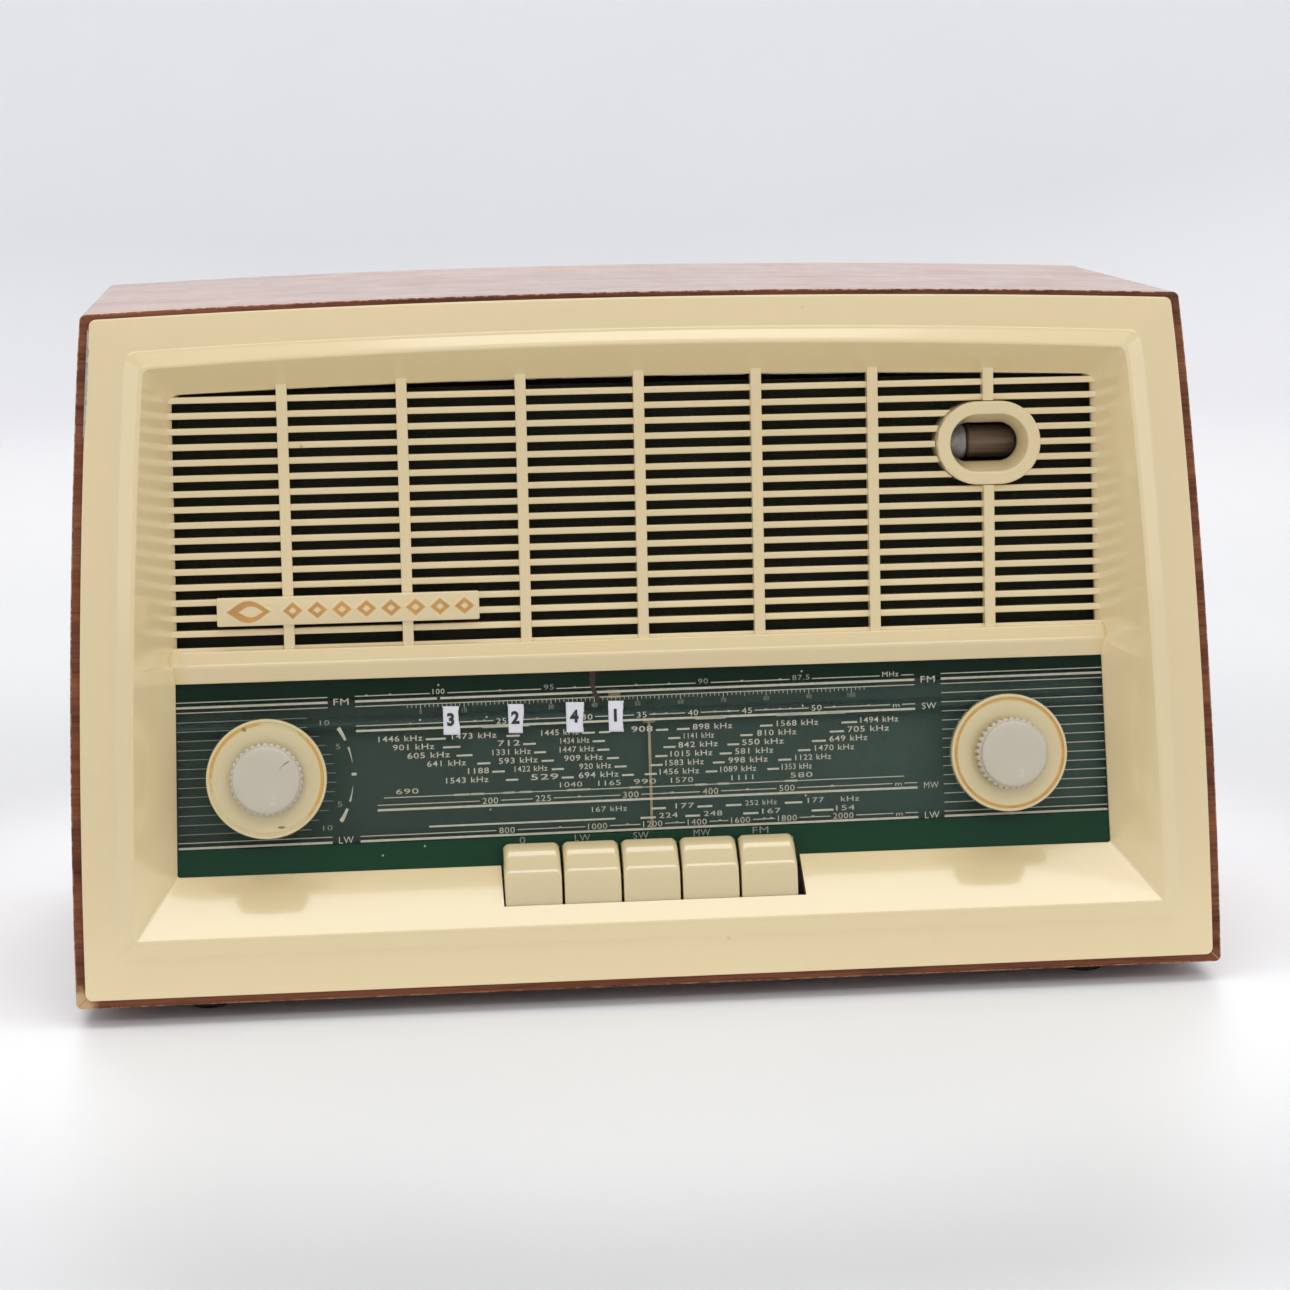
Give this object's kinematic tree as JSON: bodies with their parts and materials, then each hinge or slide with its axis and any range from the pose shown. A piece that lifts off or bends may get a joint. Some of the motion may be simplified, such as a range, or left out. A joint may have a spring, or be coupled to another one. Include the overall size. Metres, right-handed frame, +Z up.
{
  "type": "table radio",
  "caption": "Table radio: wooden cabinet, cream front leaning back, barred speaker grille with tuning indicator, glass dial with double knobs and a row of push keys.",
  "frame": {"origin": "middle of the bounding box's base, on the standing surface under the feet", "axes": "+X to the listener's right along the front, front faces -Y, +Z up"},
  "size_m": [0.484, 0.2337, 0.2953],
  "materials": {
    "wood": "clear lacquered veneer",
    "cream": "aged glossy ivory",
    "cap": "pale, slightly translucent",
    "cloth": "fine black weave",
    "hardboard": "brown hardboard",
    "glass": "clear",
    "dial": "dark green with beige print",
    "steel": "plated",
    "iron": "varnished laminations",
    "valve": "valve glass",
    "indicator": "dark brown glass",
    "paper": "cone paper",
    "rubber": "black",
    "cord": "waxed cord",
    "nylon": "nylon"
  },
  "bodies": {
    "cabinet": {"cabinet_top": "wood", "cabinet_bottom": "wood", "cabinet_side_left": "wood", "cabinet_side_right": "wood", "back_batten_left": "wood", "back_batten_right": "wood", "front_moulding": "cream", "badge_plate": "cream", "indicator_bezel": "cream", "grille_cloth": "cloth", "baffle_board": "hardboard", "back_cover": "hardboard", "dial_glass": "glass", "dial_plate": "dial", "speaker_basket": "steel", "pointer_rail": "steel", "double_potentiometer": "steel", "key_frame": "steel", "key_axle": "steel", "front_plate": "steel", "tuning_capacitor": "steel", "fm_tuner": "steel", "chassis": "steel", "if_transformer": "steel", "back_screw_1": "steel", "back_screw_2": "steel", "back_screw_3": "steel", "back_screw_4": "steel", "mains_transformer": "iron", "output_transformer": "iron", "mixer_valve": "valve", "audio_valve": "valve", "output_valve": "valve", "indicator_tube": "indicator", "speaker_cone": "paper", "foot_front_left": "rubber", "foot_front_right": "rubber", "foot_back_left": "rubber", "foot_back_right": "rubber", "mains_gland": "rubber", "dial_cord": "cord", "cord_guide_left": "nylon", "cord_guide_right": "nylon"},
    "volume": {"volume_knob": "cap", "volume_knob_shaft": "steel"},
    "tone": {"tone_ring": "cream", "tone_ring_tube": "steel"},
    "am_tuning": {"am_tuning_ring": "cream", "am_tuning_ring_tube": "steel"},
    "fm_tuning": {"fm_tuning_knob": "cap", "fm_tuning_knob_shaft": "steel"},
    "am_drive": {"dial_drum": "nylon", "tuning_rotor": "steel"},
    "am_pointer": {"am_pointer": "cream"},
    "fm_pointer": {"fm_pointer": "cream"},
    "key_1": {"key_1": "cream"},
    "key_2": {"key_2": "cream"},
    "key_3": {"key_3": "cream"},
    "key_4": {"key_4": "cream"},
    "key_5": {"key_5": "cream"}
  },
  "joints": [
    {"name": "volume_turn", "type": "hinge", "parent": "cabinet", "child": "volume", "pos_m": [-0.1612, -0.09978, 0.09873], "axis": [0, 0.9862, -0.1654], "range_deg": [-150, 150]},
    {"name": "tone_turn", "type": "hinge", "parent": "cabinet", "child": "tone", "pos_m": [-0.1612, -0.09978, 0.09873], "axis": [0, 0.9862, -0.1654], "range_deg": [-150, 150]},
    {"name": "am_tuning_turn", "type": "hinge", "parent": "cabinet", "child": "am_tuning", "pos_m": [0.1544, -0.09978, 0.09873], "axis": [0, 0.9862, -0.1654], "range_deg": [-1440, 1440]},
    {"name": "fm_tuning_turn", "type": "hinge", "parent": "cabinet", "child": "fm_tuning", "pos_m": [0.1544, -0.09978, 0.09873], "axis": [0, 0.9862, -0.1654], "range_deg": [-1080, 1080]},
    {"name": "am_drive_turn", "type": "hinge", "parent": "cabinet", "child": "am_drive", "pos_m": [0.052, -0.10251, 0.08246], "axis": [0, 0.9862, -0.1654], "range_deg": [-90, 90]},
    {"name": "am_pointer_slide", "type": "slide", "parent": "cabinet", "child": "am_pointer", "axis": [1, 0, 0], "range_m": [-0.12, 0.12]},
    {"name": "fm_pointer_slide", "type": "slide", "parent": "cabinet", "child": "fm_pointer", "axis": [1, 0, 0], "range_m": [-0.11, 0.11]},
    {"name": "key_1_press", "type": "hinge", "parent": "cabinet", "child": "key_1", "pos_m": [-0.0512, -0.04888, 0.0395], "axis": [1, 0, 0], "range_deg": [0, 6], "stiffness_Nm_per_rad": 1, "springref_deg": -4.58},
    {"name": "key_2_press", "type": "hinge", "parent": "cabinet", "child": "key_2", "pos_m": [-0.0262, -0.04888, 0.0395], "axis": [1, 0, 0], "range_deg": [0, 6], "stiffness_Nm_per_rad": 1, "springref_deg": -4.58},
    {"name": "key_3_press", "type": "hinge", "parent": "cabinet", "child": "key_3", "pos_m": [-0.0012, -0.04888, 0.0395], "axis": [1, 0, 0], "range_deg": [0, 6], "stiffness_Nm_per_rad": 1, "springref_deg": -4.58},
    {"name": "key_4_press", "type": "hinge", "parent": "cabinet", "child": "key_4", "pos_m": [0.0238, -0.04888, 0.0395], "axis": [1, 0, 0], "range_deg": [0, 6], "stiffness_Nm_per_rad": 1, "springref_deg": -4.58},
    {"name": "key_5_press", "type": "hinge", "parent": "cabinet", "child": "key_5", "pos_m": [0.0488, -0.04888, 0.0395], "axis": [1, 0, 0], "range_deg": [0, 6], "stiffness_Nm_per_rad": 1, "springref_deg": -4.58}
  ],
  "couplings": [
    {"joint": "am_pointer_slide", "follows": "am_tuning_turn", "m_per_rad": 0.00477},
    {"joint": "am_drive_turn", "follows": "am_tuning_turn", "ratio": 0.0624},
    {"joint": "fm_pointer_slide", "follows": "fm_tuning_turn", "m_per_rad": 0.00583}
  ]
}
